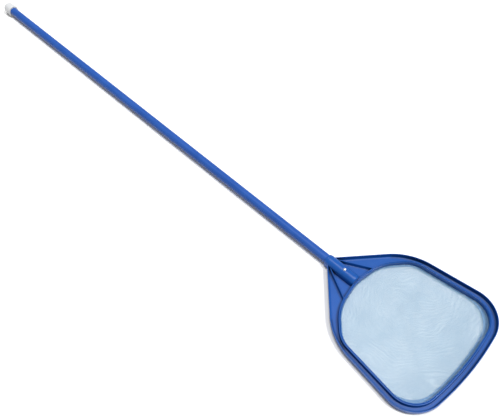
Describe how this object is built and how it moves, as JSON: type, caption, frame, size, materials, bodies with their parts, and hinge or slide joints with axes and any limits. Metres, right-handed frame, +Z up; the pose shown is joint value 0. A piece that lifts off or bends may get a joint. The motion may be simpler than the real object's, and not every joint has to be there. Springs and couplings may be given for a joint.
{
  "type": "leaf skimmer net",
  "caption": "Leaf skimmer with a long tube handle, a flat moulded scoop head with a raised rim and a fine net, and a sprung button that locks the tube in its socket.",
  "frame": {"origin": "on the ground under the middle of the tool's length, on its centre plane", "axes": "+X along the pole towards the head, +Z up, +Y to the left as seen from the handle end"},
  "size_m": [1.5074, 0.3022, 0.0298],
  "materials": {
    "pole_paint": "satin blue coating on an aluminium tube",
    "white_plastic": "moulded, satin",
    "blue_plastic": "moulded polypropylene, semi-gloss",
    "net": "fine woven synthetic net, pale blue",
    "bright_steel": "bright plated",
    "spring_steel": "plain strip"
  },
  "bodies": {
    "skimmer": {"pole_tube": "pole_paint", "end_cap": "white_plastic", "head_frame": "blue_plastic", "net_clamp_ring": "blue_plastic", "net_mesh": "net", "button_spring": "spring_steel"},
    "button": {"snap_button": "bright_steel"}
  },
  "joints": [
    {"name": "button_press", "type": "slide", "parent": "skimmer", "child": "button", "axis": [0, 0, -1], "range_m": [0, 0.005], "stiffness_N_per_m": 800, "springref_m": -0.004, "deforming": ["button_spring"]}
  ]
}
